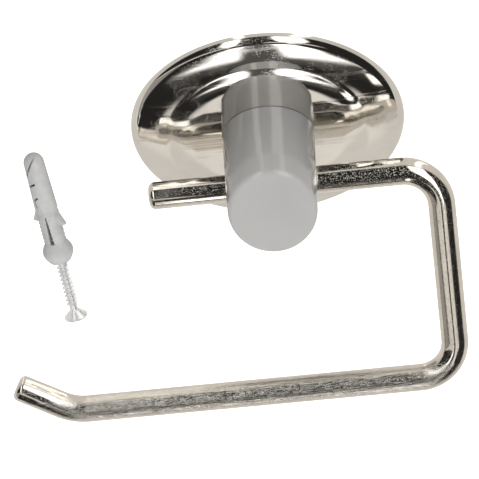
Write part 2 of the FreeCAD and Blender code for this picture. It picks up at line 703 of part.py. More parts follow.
build_rosette()
build_ring()
build_pad()
build_hub()
build_post()
build_insert()
build_grub()
build_wire()
build_keeper()
build_plug()
build_screw()
doc.recompute()

for obj in doc.Objects:
    if {"Invalid", "Error"} & set(obj.State):
        raise RuntimeError("%s failed: %s" % (obj.Name, obj.State))

os.makedirs("parts", exist_ok=True)
for obj in NODES:
    shape = obj.Shape
    if shape.isNull() or not shape.isValid() or shape.Volume <= 0 or len(shape.Solids) != 1:
        raise RuntimeError("%s has no single valid solid" % obj.Label)
    shape.exportStep("parts/%s.step" % obj.Label)
    spread = shape.BoundBox
    print("%-14s %8.1f mm3  x %.1f %.1f  y %.1f %.1f  z %.1f %.1f" % (
        obj.Label, shape.Volume, spread.XMin, spread.XMax, spread.YMin, spread.YMax,
        spread.ZMin, spread.ZMax))
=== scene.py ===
import json
import math
import bpy
from mathutils import Matrix, Vector


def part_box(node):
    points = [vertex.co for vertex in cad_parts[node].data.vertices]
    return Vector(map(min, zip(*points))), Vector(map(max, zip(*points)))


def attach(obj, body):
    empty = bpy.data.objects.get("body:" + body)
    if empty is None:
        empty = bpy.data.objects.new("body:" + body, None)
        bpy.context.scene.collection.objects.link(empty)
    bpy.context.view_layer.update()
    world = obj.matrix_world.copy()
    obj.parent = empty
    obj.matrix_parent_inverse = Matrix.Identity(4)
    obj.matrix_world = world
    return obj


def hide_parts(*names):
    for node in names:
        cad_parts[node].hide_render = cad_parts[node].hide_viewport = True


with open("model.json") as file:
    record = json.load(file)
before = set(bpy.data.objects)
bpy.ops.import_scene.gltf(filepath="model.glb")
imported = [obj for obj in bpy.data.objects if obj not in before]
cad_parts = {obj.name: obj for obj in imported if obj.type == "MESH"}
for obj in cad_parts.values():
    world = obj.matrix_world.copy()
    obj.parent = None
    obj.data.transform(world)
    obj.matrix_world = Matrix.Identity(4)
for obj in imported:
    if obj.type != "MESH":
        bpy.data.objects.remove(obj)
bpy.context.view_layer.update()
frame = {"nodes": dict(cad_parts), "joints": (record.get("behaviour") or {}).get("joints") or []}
bpy.ops.object.select_all(action="DESELECT")
scene = bpy.context.scene
wallSide = "holder"
swingSide = "wire"
print("frame loaded:", len(frame["nodes"]), "nodes")


class Flow:  # one shader socket that can be added, multiplied and so on
    def __init__(self, recipe, socket):
        self.recipe = recipe
        self.socket = socket

    def maths(self, operation, *numbers):
        settings = {"operation": operation}
        return self.recipe.node("ShaderNodeMath", settings, dict(enumerate(numbers))).out()

    def __add__(self, other):
        return self.maths("ADD", self, other)

    def __radd__(self, other):
        return self.maths("ADD", other, self)

    def __sub__(self, other):
        return self.maths("SUBTRACT", self, other)

    def __rsub__(self, other):
        return self.maths("SUBTRACT", other, self)

    def __mul__(self, other):
        return self.maths("MULTIPLY", self, other)

    def __rmul__(self, other):
        return self.maths("MULTIPLY", other, self)

    def power(self, other):
        return self.maths("POWER", self, other)

    def size(self):
        return self.maths("ABSOLUTE", self)

    def angle(self, other):
        return self.maths("ARCTAN2", self, other)

    def smooth(self, low, high):  # 0 before low, 1 past high, whichever of them is larger
        limits = {"From Min": low, "From Max": high}
        settings = {"interpolation_type": "SMOOTHSTEP"}
        return self.recipe.node("ShaderNodeMapRange", settings, {"Value": self, **limits}).out()


class Made:  # a node just added
    def __init__(self, recipe, node):
        self.recipe = recipe
        self.node = node

    def out(self, name=0):
        return Flow(self.recipe, self.node.outputs[name])


class Recipe:  # a node tree that is being filled in
    def __init__(self, tree):
        self.tree = tree
        self.tree.nodes.clear()

    def node(self, kind, settings=None, values=None):
        made = self.tree.nodes.new(kind)
        for key, value in (settings or {}).items():
            setattr(made, key, value)
        for key, value in (values or {}).items():
            if isinstance(value, Flow):
                self.tree.links.new(value.socket, made.inputs[key])
            else:
                made.inputs[key].default_value = value
        return Made(self, made)

    def mix(self, share, first, second):
        colours = {"Factor": share, 6: first, 7: second}
        return self.node("ShaderNodeMix", {"data_type": "RGBA"}, colours).out(2)

    def noise(self, place, scale, detail=3.0, rough=0.5):
        values = {"Vector": place, "Scale": scale, "Detail": detail, "Roughness": rough}
        return self.node("ShaderNodeTexNoise", {}, values).out(0)

    def stretched(self, place, scale, turn=(0, 0, 0)):
        values = {"Vector": place, "Scale": scale, "Rotation": turn}
        return self.node("ShaderNodeMapping", {}, values).out()


cloudEdge = (0.3, 0.7)  # where a cloudy colour turns from one tone to the other


def newFinish(name):
    material = bpy.data.materials.new(name)
    material.use_nodes = True
    recipe = Recipe(material.node_tree)
    place = recipe.node("ShaderNodeTexCoord").out("Object")
    return material, recipe, place


def closeFinish(recipe, values, bump=None, strength=0.0, depth=0.0):
    if bump is not None:
        relief = {"Height": bump, "Strength": strength, "Distance": depth}
        values["Normal"] = recipe.node("ShaderNodeBump", {}, relief).out()
    shader = recipe.node("ShaderNodeBsdfPrincipled", {}, values).out()
    recipe.node("ShaderNodeOutputMaterial", {}, {"Surface": shader})


def platedFinish(name, look):
    material, recipe, place = newFinish(name)
    cloud = recipe.noise(place, look["cloudScale"], 4.0)
    grain = recipe.noise(place, look["grainScale"], 2.0, 0.6)
    fine = recipe.noise(place, look["fineScale"], 2.0, 0.7)
    scratch = 0.0
    for turn in look["scratchTurns"]:
        lined = recipe.stretched(place, look["scratchStretch"], [math.radians(t) for t in turn])
        line = recipe.noise(lined, 1.0, 1.0, 0.3)
        scratch = line.smooth(*look["scratchEdge"]) + scratch
    patch = cloud.smooth(*look["patchEdge"])
    colour = recipe.mix(cloud.smooth(*cloudEdge), look["colour"], look["colourDeep"])
    rough = patch * look["roughSpread"] + look["rough"] + scratch * look["scratchRough"]
    pits = fine.smooth(*look["pitEdge"]) * cloud.smooth(*look["pitPatch"])
    rough = rough + pits * look["pitRough"]
    height = grain * look["grainDepth"] + fine * look["fineDepth"] - scratch * look["scratchDepth"]
    height = height - pits * look["pitDepth"]
    if "lineScale" in look:  # fine drawn lines where the roll rubs on the lower bar
        drawn = recipe.noise(recipe.stretched(place, look["lineStretch"]), look["lineScale"], 3.0, 0.6)
        turned = recipe.stretched(place, (1, 1, 1), (math.radians(-look["lineLean"]), 0, 0))
        low = recipe.node("ShaderNodeSeparateXYZ", {}, {"Vector": turned}).out("Z")
        rubbed = low.smooth(look["lineTop"], look["lineTop"] - look["lineFade"])
        height = height + drawn * rubbed * look["lineDepth"]
        rough = rough + rubbed * look["lineRough"]
    values = {"Base Color": colour, "Metallic": 1.0, "Roughness": rough}
    closeFinish(recipe, values, height, look["bumpStrength"], look["bumpDepth"])
    return material


def mouldedFinish(name, look):
    material, recipe, place = newFinish(name)
    cloud = recipe.noise(place, look["cloudScale"], 4.0)
    grain = recipe.noise(place, look["grainScale"], 3.0, 0.6)
    rubbed = recipe.noise(recipe.stretched(place, look["rubStretch"]), look["rubScale"], 2.0, 0.4)
    colour = recipe.mix(cloud.smooth(*cloudEdge), look["colour"], look["colourDeep"])
    rough = cloud * look["roughSpread"] + look["rough"]
    rough = rough + rubbed.smooth(*look["rubEdge"]) * look["rubRough"]
    coat = cloud * look["coatSpread"] + look["coat"]
    values = {"Base Color": colour, "Roughness": rough, "IOR": look["ior"],
              "Coat Weight": coat, "Coat Roughness": look["coatRough"]}
    height = grain + rubbed * look["rubDepth"]
    closeFinish(recipe, values, height, look["bumpStrength"], look["bumpDepth"])
    return material


def turnedFinish(name, look):
    material, recipe, place = newFinish(name)
    cloud = recipe.noise(place, look["cloudScale"], 4.0)
    parts = recipe.node("ShaderNodeSeparateXYZ", {}, {"Vector": place})
    square = parts.out("X") * parts.out("X") + parts.out("Z") * parts.out("Z")
    ring = (square.power(0.5) + parts.out("Y")) * look["ringScale"]
    lines = recipe.noise(recipe.node("ShaderNodeCombineXYZ", {}, {"X": ring}).out(), 1.0, 3.0, 0.7)
    colour = recipe.mix(cloud.smooth(*cloudEdge), look["colour"], look["colourDeep"])
    rough = cloud * look["roughSpread"] + look["rough"]
    values = {"Base Color": colour, "Metallic": look["metal"], "Roughness": rough}
    closeFinish(recipe, values, lines, look["bumpStrength"], look["bumpDepth"])
    return material


rosetteLook = {
    "colour": (0.80, 0.775, 0.735, 1), "colourDeep": (0.74, 0.72, 0.69, 1),
    "rough": 0.045, "roughSpread": 0.03, "cloudScale": 90.0,
    "patchEdge": (0.48, 0.62), "grainScale": 900.0, "grainDepth": 0.10,
    "fineScale": 2790.0, "fineDepth": 0.04,
    "pitEdge": (0.61, 0.67), "pitPatch": (0.50, 0.60), "pitRough": 0.10, "pitDepth": 0.8,
    "scratchTurns": [(10, 0, 20), (40, 15, 75), (0, 60, 140)], "scratchStretch": (14, 500, 500),
    "scratchEdge": (0.66, 0.72), "scratchRough": 0.06, "scratchDepth": 0.25,
    "bumpStrength": 0.12, "bumpDepth": 0.0001,
}
wireLook = {
    "colour": (0.80, 0.765, 0.70, 1), "colourDeep": (0.73, 0.695, 0.635, 1),
    "rough": 0.05, "roughSpread": 0.05, "cloudScale": 140.0,
    "patchEdge": (0.48, 0.62), "grainScale": 1100.0, "grainDepth": 0.3,
    "fineScale": 3410.0, "fineDepth": 0.12,
    "pitEdge": (0.61, 0.67), "pitPatch": (0.25, 0.45), "pitRough": 0.12, "pitDepth": 1.3,
    "scratchTurns": [(0, 0, 0), (20, 0, 8)], "scratchStretch": (20, 700, 700),
    "scratchEdge": (0.66, 0.72), "scratchRough": 0.06, "scratchDepth": 0.25,
    "bumpStrength": 0.22, "bumpDepth": 0.0001,
    "lineStretch": (0.025, 1, 1), "lineScale": 2500.0, "lineLean": -36.0,
    "lineTop": -0.0745, "lineFade": 0.002, "lineDepth": 6.0, "lineRough": 0.03,
}
postLook = {
    "colour": (0.284, 0.281, 0.276, 1), "colourDeep": (0.268, 0.265, 0.260, 1),
    "rough": 0.30, "roughSpread": 0.10, "cloudScale": 60.0, "grainScale": 2600.0,
    "rubStretch": (1, 0.15, 1), "rubScale": 700.0, "rubEdge": (0.6, 0.7), "rubRough": 0.06,
    "rubDepth": 0.4, "ior": 1.5, "coat": 0.85, "coatSpread": 0.1, "coatRough": 0.05,
    "bumpStrength": 0.06, "bumpDepth": 0.0001,
}
nylonLook = {
    "colour": (0.345, 0.345, 0.34, 1), "colourDeep": (0.30, 0.30, 0.30, 1),
    "rough": 0.48, "roughSpread": 0.16, "cloudScale": 300.0, "grainScale": 3200.0,
    "rubStretch": (1, 1, 0.1), "rubScale": 1500.0, "rubEdge": (0.6, 0.7), "rubRough": 0.06,
    "rubDepth": 0.4, "ior": 1.5, "coat": 0.0, "coatSpread": 0.1, "coatRough": 0.3,
    "bumpStrength": 0.25, "bumpDepth": 0.0001,
}
whiteLook = dict(nylonLook, colour=(0.74, 0.74, 0.71, 1), colourDeep=(0.68, 0.68, 0.64, 1), rough=0.42)
rubberLook = dict(nylonLook, colour=(0.022, 0.022, 0.023, 1), colourDeep=(0.035, 0.035, 0.035, 1),
                  rough=0.75, bumpStrength=0.5)
screwLook = {
    "colour": (0.92, 0.92, 0.93, 1), "colourDeep": (0.80, 0.81, 0.82, 1), "metal": 0.74,
    "rough": 0.20, "roughSpread": 0.14, "cloudScale": 500.0, "ringScale": 900.0,
    "bumpStrength": 0.08, "bumpDepth": 0.0001,
}
zincLook = dict(screwLook, colour=(0.60, 0.60, 0.59, 1), colourDeep=(0.48, 0.48, 0.48, 1), metal=1.0,
                rough=0.32, cloudScale=200.0, ringScale=2500.0, bumpStrength=0.3)
brassLook = dict(zincLook, colour=(0.80, 0.60, 0.26, 1), colourDeep=(0.66, 0.47, 0.19, 1), rough=0.22)

rosetteChrome = platedFinish("rosetteChrome", rosetteLook)
wireChrome = platedFinish("wireChrome", wireLook)
postGrey = mouldedFinish("postGrey", postLook)
plugNylon = mouldedFinish("plugNylon", nylonLook)
whiteNylon = mouldedFinish("whiteNylon", whiteLook)
blackRubber = mouldedFinish("blackRubber", rubberLook)
brightZinc = turnedFinish("brightZinc", screwLook)
turnedZinc = turnedFinish("turnedZinc", zincLook)
turnedBrass = turnedFinish("turnedBrass", brassLook)
print("finishes ready")


def chosen(obj):
    bpy.ops.object.select_all(action="DESELECT")
    obj.select_set(True)
    bpy.context.view_layer.objects.active = obj


def arcPoints(centre, radius, start, stop, steps):  # angles in radians, end points included
    return [(centre[0] + radius * math.cos(start + (stop - start) * i / steps),
             centre[1] + radius * math.sin(start + (stop - start) * i / steps))
            for i in range(steps + 1)]


def softCorners(points, radius, steps=4):  # rounds every corner of a closed outline
    rounded = []
    count = len(points)
    for i in range(count):
        here = Vector(points[i])
        back = Vector(points[i - 1]) - here
        ahead = Vector(points[(i + 1) % count]) - here
        reach = min(radius, 0.45 * back.length, 0.45 * ahead.length)
        a = here + back.normalized() * reach
        b = here + ahead.normalized() * reach
        for k in range(steps + 1):
            t = k / steps
            rounded.append(tuple(a * (1 - t) ** 2 + here * 2 * t * (1 - t) + b * t ** 2))
    return rounded


def drawOutline(name, points):  # one vertex extruded from point to point
    bpy.ops.object.select_all(action="DESELECT")
    bpy.ops.mesh.primitive_plane_add(size=0.001, location=(0, 0, 0))
    obj = bpy.context.object
    obj.name = name
    obj.data.name = name
    bpy.ops.object.mode_set(mode="EDIT")
    bpy.ops.mesh.select_all(action="SELECT")
    bpy.ops.mesh.merge(type="CENTER")
    bpy.ops.transform.translate(value=points[0])
    for before, after in zip(points, points[1:]):
        step = Vector(after) - Vector(before)
        bpy.ops.mesh.extrude_region_move(TRANSFORM_OT_translate={"value": step})
    bpy.ops.object.mode_set(mode="OBJECT")
    return obj


def cleanMesh(obj, merge=2e-6):
    chosen(obj)
    bpy.ops.object.mode_set(mode="EDIT")
    bpy.ops.mesh.select_all(action="SELECT")
    bpy.ops.mesh.remove_doubles(threshold=merge)
    bpy.ops.mesh.normals_make_consistent(inside=False)
    bpy.ops.object.mode_set(mode="OBJECT")


def turnPiece(name, outline, along="Y", steps=192):  # outline points are (radius, reach)
    if along == "Y":  # reach is measured out from the wall
        points = [(r, -reach, 0) for r, reach in outline]
        axis = (0, 1, 0)
    else:
        points = [(r, 0, reach) for r, reach in outline]
        axis = (0, 0, 1)
    obj = drawOutline(name, points + points[:1])
    bpy.ops.object.mode_set(mode="EDIT")
    bpy.ops.mesh.select_all(action="SELECT")
    bpy.ops.mesh.spin(steps=steps, angle=2 * math.pi, center=(0, 0, 0), axis=axis)
    bpy.ops.object.mode_set(mode="OBJECT")
    cleanMesh(obj)
    return obj


def roundBar(radius, length, middle, direction, sides=96):
    turn = Vector(direction).to_track_quat("Z", "Y").to_euler()
    bpy.ops.object.select_all(action="DESELECT")
    bpy.ops.mesh.primitive_cylinder_add(vertices=sides, radius=radius, depth=length,
                                        location=middle, rotation=turn)
    return bpy.context.object


def block(size, middle, turn=(0, 0, 0)):
    bpy.ops.object.select_all(action="DESELECT")
    bpy.ops.mesh.primitive_cube_add(size=1, location=middle, rotation=turn)
    bpy.context.object.scale = size
    bpy.ops.object.transform_apply(location=False, rotation=False, scale=True)
    return bpy.context.object


def carve(obj, tool, operation="DIFFERENCE"):
    chosen(obj)
    bpy.ops.object.modifier_add(type="BOOLEAN")
    modifier = obj.modifiers[-1]
    modifier.operation = operation
    modifier.solver = "EXACT"
    modifier.object = tool
    bpy.ops.object.modifier_apply(modifier=modifier.name)
    bpy.data.objects.remove(tool)


thread = {  # shares of the ridge's height or of its pitch
    "sunk": 0.15, "halfFoot": 0.42, "halfCrest": 0.07, "runOut": 0.6, "firstShare": 0.1, "leastShare": 0.05,
    "stepsPerTurn": 32,
}


def threadRidge(name, core, crest, pitch, low, high):
    # a trapezoid ridge wound on the Z axis, sunk a little into its core
    turns = (high - low) / pitch
    sink = core - thread["sunk"] * (crest - core)
    foot = thread["halfFoot"] * pitch
    tip = thread["halfCrest"] * pitch
    corners = [(sink, 0, low - foot), (crest, 0, low - tip),
               (crest, 0, low + tip), (sink, 0, low + foot)]
    obj = drawOutline(name, corners + corners[:1])
    cleanMesh(obj)
    chosen(obj)
    bpy.ops.object.modifier_add(type="SCREW")
    winding = obj.modifiers[-1]
    winding.axis = "Z"
    winding.angle = 2 * math.pi * turns
    winding.screw_offset = high - low
    winding.steps = int(thread["stepsPerTurn"] * turns)
    winding.render_steps = winding.steps
    winding.use_merge_vertices = False
    bpy.ops.object.modifier_apply(modifier=winding.name)
    bpy.ops.object.mode_set(mode="EDIT")
    bpy.ops.mesh.select_all(action="SELECT")
    bpy.ops.mesh.fill_holes(sides=8)
    bpy.ops.mesh.select_all(action="SELECT")
    bpy.ops.mesh.normals_make_consistent(inside=False)
    bpy.ops.object.mode_set(mode="OBJECT")
    fade = thread["runOut"] * pitch
    for vertex in obj.data.vertices:  # the ridge runs out at both ends
        span = Vector((vertex.co.x, vertex.co.y))
        ends = (vertex.co.z - low, high - vertex.co.z)
        share = min(1.0, *(end / fade + thread["firstShare"] for end in ends))
        if share < 1.0 and span.length > sink:
            share = max(share, thread["leastShare"])
            span = span.normalized() * (sink + (span.length - sink) * share)
            vertex.co.x = span.x
            vertex.co.y = span.y
    return obj


def joined(obj, *others):
    chosen(obj)
    for other in others:
        other.select_set(True)
    bpy.ops.object.join()


def placed(obj, matrix):
    chosen(obj)
    obj.matrix_world = matrix @ obj.matrix_world
    bpy.ops.object.transform_apply(location=True, rotation=True, scale=True)


def finishPiece(obj, node, material, body, smooth=30):
    chosen(obj)
    bpy.ops.object.transform_apply(location=True, rotation=True, scale=True)
    bpy.ops.object.shade_smooth_by_angle(angle=math.radians(smooth))
    obj.name = node + "_shape"
    obj.data.name = obj.name
    obj.data.materials.clear()
    obj.data.materials.append(material)
    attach(obj, body)
    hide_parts(node)
    low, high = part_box(node)
    made = [v.co for v in obj.data.vertices]
    gap = max(max(abs(min(v[k] for v in made) - low[k]), abs(max(v[k] for v in made) - high[k]))
              for k in range(3))
    print("%s: %d faces, within %.2f mm of its CAD box" % (obj.name, len(obj.data.polygons), gap * 1000))


rosette = {
    "edgeRadius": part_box("rosette")[1].x, "height": -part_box("rosette")[0].y, "wall": 0.0012,
    "rimWidth": 0.018, "flatStep": 0.0019, "skirt": 0.0006, "eyeRadius": 0.01025,
    "shoulderRadius": 0.030, "shoulderSlope": 12.0, "valleyRadius": 0.014, "valleySlope": 4.0,
    "steps": 320, "shoulderSteps": 16, "valleySteps": 12, "browSteps": 14, "lipSteps": 20,
    "rim": 0.00015, "hold": 0.0004,  # a loop beside each bend keeps the flat's reflections true
}


def rimOutline(offset):  # from the flat to the skirt, moved inwards by offset
    edge = rosette["edgeRadius"] - offset
    front = rosette["height"] - offset
    flat = rosette["edgeRadius"] - rosette["rimWidth"]
    shoulder = rosette["shoulderRadius"] - offset
    valley = rosette["valleyRadius"] + offset
    lip = rosette["height"] - rosette["skirt"] - rosette["flatStep"] - offset
    steep = math.radians(rosette["shoulderSlope"])
    shallow = math.radians(rosette["valleySlope"])
    up = math.pi / 2
    points = arcPoints((flat, front - shoulder), shoulder, up, up - steep, rosette["shoulderSteps"])
    low = points[-1]
    sunk = (low[0] + valley * math.sin(steep), low[1] + valley * math.cos(steep))
    points += arcPoints(sunk, valley, -up - steep, -up - shallow, rosette["valleySteps"])[1:]
    start = Vector(points[-1])
    normal = Vector((math.sin(shallow), math.cos(shallow)))
    lipCentre = Vector((edge - lip, rosette["skirt"]))
    gap = start - lipCentre
    brow = (gap.length_squared - lip ** 2) / (2 * (gap.dot(normal) - lip))
    browCentre = start - normal * brow
    towards = lipCentre - browCentre
    meet = math.atan2(towards.y, towards.x)
    points += arcPoints(browCentre, brow, up - shallow, meet, rosette["browSteps"])[1:]
    points += arcPoints(lipCentre, lip, meet, 0.0, rosette["lipSteps"])[1:]
    return points


def buildRosette():
    flat = rosette["edgeRadius"] - rosette["rimWidth"]
    hold = rosette["hold"]
    front = rosette["height"]
    wall = rosette["wall"]
    back = front - wall
    eye = rosette["eyeRadius"]
    edge = rosette["edgeRadius"]
    soft = rosette["rim"]
    outline = [(eye, back + soft), (eye, front - soft), (eye + soft, front), (eye + 3 * soft, front)]
    outline += [(flat - hold, front)] + rimOutline(0.0) + [(edge, soft), (edge - soft, 0.0)]
    outline += [(edge - wall + soft, 0.0), (edge - wall, soft)] + rimOutline(wall)[::-1]
    outline += [(flat - hold, back), (eye + 3 * soft, back), (eye + soft, back)]
    obj = turnPiece("rosetteShape", outline, steps=rosette["steps"])
    finishPiece(obj, "rosette", rosetteChrome, wallSide)


buildRosette()


backing = {
    "ringOuter": 0.021, "ringInner": 0.01025, "ringBack": 0.0023, "ringFront": 0.0038,
    "padOuter": 0.016, "padWall": 0.0008, "padGrooves": 5, "padGrooveWidth": 0.0008,
    "padGrooveDepth": 0.0003, "holeRadius": 0.0021, "flangeRadius": 0.016, "flangeFront": 0.0023,
    "spigotRadius": 0.00995, "hubReach": 0.012, "sinkWidth": 0.0017, "edge": 0.0002, "steps": 144,
    "ringPockets": 12, "pocketDepth": 0.0008, "pocketWidth": 0.0026, "pocketHeight": 0.0060,
    "pocketShift": 0.0003, "dimpleTip": 0.0001, "dimpleHeight": 0.002, "dimpleSpread": 20,
    "dimpleStation": 0.0086,
}


def buildRing():
    inner, outer = backing["ringInner"], backing["ringOuter"]
    back, front = backing["ringBack"], backing["ringFront"]
    corners = [(inner, back), (outer, back), (outer, front), (inner, front)]
    ring = turnPiece("ringShape", softCorners(corners, backing["edge"], 2), steps=backing["steps"])
    middle = (backing["flangeRadius"] + outer) / 2 + backing["pocketShift"]
    for i in range(backing["ringPockets"]):
        turn = 2 * math.pi * i / backing["ringPockets"]
        place = Vector((math.cos(turn) * middle, -back, math.sin(turn) * middle))
        size = (backing["pocketWidth"], 2 * backing["pocketDepth"], backing["pocketHeight"])
        carve(ring, block(size, place, (0, -turn, 0)))
    finishPiece(ring, "backing_ring", whiteNylon, wallSide)


def buildPad():
    hole, outer, wall = backing["holeRadius"], backing["padOuter"], backing["padWall"]
    pitch = (outer - hole) / (backing["padGrooves"] + 1)
    half, deep = backing["padGrooveWidth"] / 2, backing["padGrooveDepth"]
    outline = [(hole, 0.0)]
    for i in range(backing["padGrooves"]):  # each groove is half as wide at its foot
        r = hole + pitch * (i + 1)
        outline += [(r - half, 0.0), (r - half / 2, deep), (r + half / 2, deep), (r + half, 0.0)]
    outline += [(outer - backing["edge"], 0.0), (outer, backing["edge"]), (outer, wall), (hole, wall)]
    pad = turnPiece("padShape", outline, steps=backing["steps"])
    finishPiece(pad, "grip_pad", blackRubber, wallSide)


def buildHub():
    hole, flange = backing["holeRadius"], backing["flangeRadius"]
    spigot, reach = backing["spigotRadius"], backing["hubReach"]
    sink = backing["sinkWidth"]
    corners = [(hole, backing["padWall"]), (flange, backing["padWall"]), (flange, backing["flangeFront"]),
               (spigot, backing["flangeFront"]), (spigot, reach), (hole + sink, reach), (hole, reach - sink)]
    hub = turnPiece("hubShape", softCorners(corners, backing["edge"], 3), steps=backing["steps"])
    dimple = roundBar(backing["dimpleTip"], backing["dimpleHeight"], (0, 0, 0), (0, 0, 1), 48)
    for vertex in dimple.data.vertices:  # opens the bar to a cone, wide end down
        if vertex.co.z < 0:
            vertex.co.x *= backing["dimpleSpread"]
            vertex.co.y *= backing["dimpleSpread"]
    dimple.location = (0, -backing["dimpleStation"], -spigot)
    carve(hub, dimple)
    finishPiece(hub, "wall_hub", turnedZinc, wallSide)


buildRing()
buildPad()
buildHub()
print("wall side ready")


post = {
    "base": 0.005, "baseRadius": 0.0136, "noseRadius": 0.0129, "reach": 0.0336, "slant": 20.5,
    "noseRound": 0.0012, "footRound": 0.00025, "cavityRadius": 0.01005, "cavityReach": 0.02115,
    "coreRadius": 0.0085, "noseWall": 0.0032, "boreRadius": 0.00406, "seatRadius": 0.0028,
    "seatStation": 0.0086, "sides": 224, "noseSteps": 10, "footSteps": 3, "noseRing": 0.0004,
    "coreLength": 0.08, "boreLength": 0.06, "seatLength": 0.03, "seatMiddle": -0.02,
}
hinge = Vector(frame["joints"][0]["pos_m"])
touching = 1e-6  # a vertex this close to a plane lies on it


def selectWhere(obj, test):  # vertices that pass a test on their place
    for vertex in obj.data.vertices:
        vertex.select = bool(test(vertex.co))
    for edge in obj.data.edges:
        edge.select = all(obj.data.vertices[k].select for k in edge.vertices)
    for face in obj.data.polygons:
        face.select = all(obj.data.vertices[k].select for k in face.vertices)


def buildPost():
    length = post["reach"] - post["base"]
    over = post["baseRadius"]
    middle = (0, -post["base"] - (length + over) / 2, 0)
    obj = roundBar(post["baseRadius"], length + over, middle, (0, -1, 0), post["sides"])
    bpy.ops.object.transform_apply(location=True, rotation=True, scale=True)
    front = -post["reach"] - over
    narrow = post["baseRadius"] - (post["baseRadius"] - post["noseRadius"]) * (length + over) / length
    selectWhere(obj, lambda co: co.y < front + touching)
    bpy.ops.object.mode_set(mode="EDIT")
    share = narrow / post["baseRadius"]
    bpy.ops.transform.resize(value=(share, 1, share), center_override=(0, front, 0))
    bpy.ops.mesh.select_all(action="SELECT")
    lean = math.radians(post["slant"])
    normal = Vector((0, -math.cos(lean), math.sin(lean)))
    nose = Vector((0, -post["reach"], 0))
    bpy.ops.mesh.bisect(plane_co=nose, plane_no=normal, use_fill=True, clear_outer=True)
    bpy.ops.object.mode_set(mode="OBJECT")
    selectWhere(obj, lambda co: abs((co - nose).dot(normal)) < touching)
    bpy.ops.object.mode_set(mode="EDIT")
    bpy.ops.mesh.region_to_loop()
    bpy.ops.mesh.bevel(offset=post["noseRound"], segments=post["noseSteps"], profile=0.5, affect="EDGES")
    bpy.ops.object.mode_set(mode="OBJECT")
    selectWhere(obj, lambda co: abs(co.y + post["base"]) < touching)
    bpy.ops.object.mode_set(mode="EDIT")
    bpy.ops.mesh.region_to_loop()
    bpy.ops.mesh.bevel(offset=post["footRound"], segments=post["footSteps"], profile=0.5, affect="EDGES")
    bpy.ops.object.mode_set(mode="OBJECT")
    selectWhere(obj, lambda co: abs((co - nose).dot(normal)) < touching)
    bpy.ops.object.mode_set(mode="EDIT")
    bpy.ops.mesh.inset(thickness=post["noseRing"], depth=0)
    bpy.ops.object.mode_set(mode="OBJECT")
    cavity = post["cavityReach"]
    carve(obj, roundBar(post["cavityRadius"], 2 * cavity, (0, 0, 0), (0, -1, 0)))
    core = roundBar(post["coreRadius"], post["coreLength"], (0, 0, 0), (0, -1, 0))
    bpy.ops.object.transform_apply(location=True, rotation=True, scale=True)
    inside = nose - normal * post["noseWall"]
    bpy.ops.object.mode_set(mode="EDIT")
    bpy.ops.mesh.select_all(action="SELECT")
    bpy.ops.mesh.bisect(plane_co=inside, plane_no=normal, use_fill=True, clear_outer=True)
    bpy.ops.object.mode_set(mode="OBJECT")
    carve(obj, core)
    carve(obj, roundBar(post["boreRadius"], post["boreLength"], hinge, (1, 0, 0)))
    seat = (0, -post["seatStation"], post["seatMiddle"])
    carve(obj, roundBar(post["seatRadius"], post["seatLength"], seat, (0, 0, -1), 64))
    cleanMesh(obj)
    finishPiece(obj, "post", postGrey, wallSide, smooth=35)


buildPost()


grub = {
    "station": 0.0086, "outer": 0.01301, "tip": 0.00927, "radius": 0.00194, "flat": 0.0002,
    "socketAcross": 0.002, "socketDepth": 0.002, "pitch": 0.0007, "insertRadius": 0.0028,
    "insertTop": 0.01015, "insertGap": 0.00006, "insertGroove": 0.0003, "insertSteps": 96,
    "threadDepth": 0.00035, "coreShare": 0.6, "threadStart": 0.0003, "threadEnd": 0.0004,
    "edge": 0.0002, "steps": 48,
}
grubPlace = Matrix.Translation((0, -grub["station"], 0)) @ Matrix.Rotation(math.pi, 4, "X")


def buildGrub():  # modelled with +Z pointing down, out of the post
    radius = grub["radius"] - grub["threadDepth"] * grub["coreShare"]
    cone = grub["tip"] + radius - grub["flat"]
    outer, edge = grub["outer"], grub["edge"]
    outline = [(0, grub["tip"]), (grub["flat"], grub["tip"]), (radius, cone),
               (radius, outer - edge), (radius - edge, outer), (0, outer)]
    body = turnPiece("grubShape", outline, "Z", grub["steps"])
    across = grub["socketAcross"] / 2 / math.cos(math.pi / 6)
    carve(body, roundBar(across, 2 * grub["socketDepth"], (0, 0, outer), (0, 0, 1), 6))
    ridge = threadRidge("grubThread", radius, grub["radius"], grub["pitch"],
                        cone + grub["threadStart"], outer - grub["threadEnd"])
    joined(body, ridge)
    placed(body, grubPlace)
    finishPiece(body, "grub_screw", brightZinc, wallSide)


def buildInsert():
    inner, outer = grub["radius"] + grub["insertGap"], grub["insertRadius"]
    top, low = grub["insertTop"], grub["outer"]
    groove = grub["insertGroove"]
    middle = (top + low) / 2
    outline = [(inner, top), (outer - groove, top), (outer, top + groove), (outer, middle - groove),
               (outer - groove, middle), (outer, middle + groove), (outer, low - groove),
               (outer - groove, low), (inner + groove, low), (inner, low - groove)]
    insert = turnPiece("insertShape", outline, "Z", grub["insertSteps"])
    placed(insert, grubPlace)
    finishPiece(insert, "grub_insert", turnedBrass, wallSide)


buildGrub()
buildInsert()
print("post and its fixings ready")


wire = {
    "radius": 0.004, "left": 0.0364, "right": 0.0483, "drop": 0.064, "barLength": 0.1152,
    "bend": 0.011, "tipRun": 0.0186, "tipRise": 29.5, "tipBend": 0.017, "endRound": 0.0018,
    "neckRadius": 0.003, "neckHalf": 0.001, "swing": 36.0, "sides": 112, "bendSteps": 28, "endSteps": 8,
}


def pushRing(step):  # the open end of the bar goes on straight
    bpy.ops.mesh.extrude_region_move(TRANSFORM_OT_translate={"value": step})


def sizeRing(share, centre):
    bpy.ops.transform.resize(value=(share, share, share), center_override=centre)


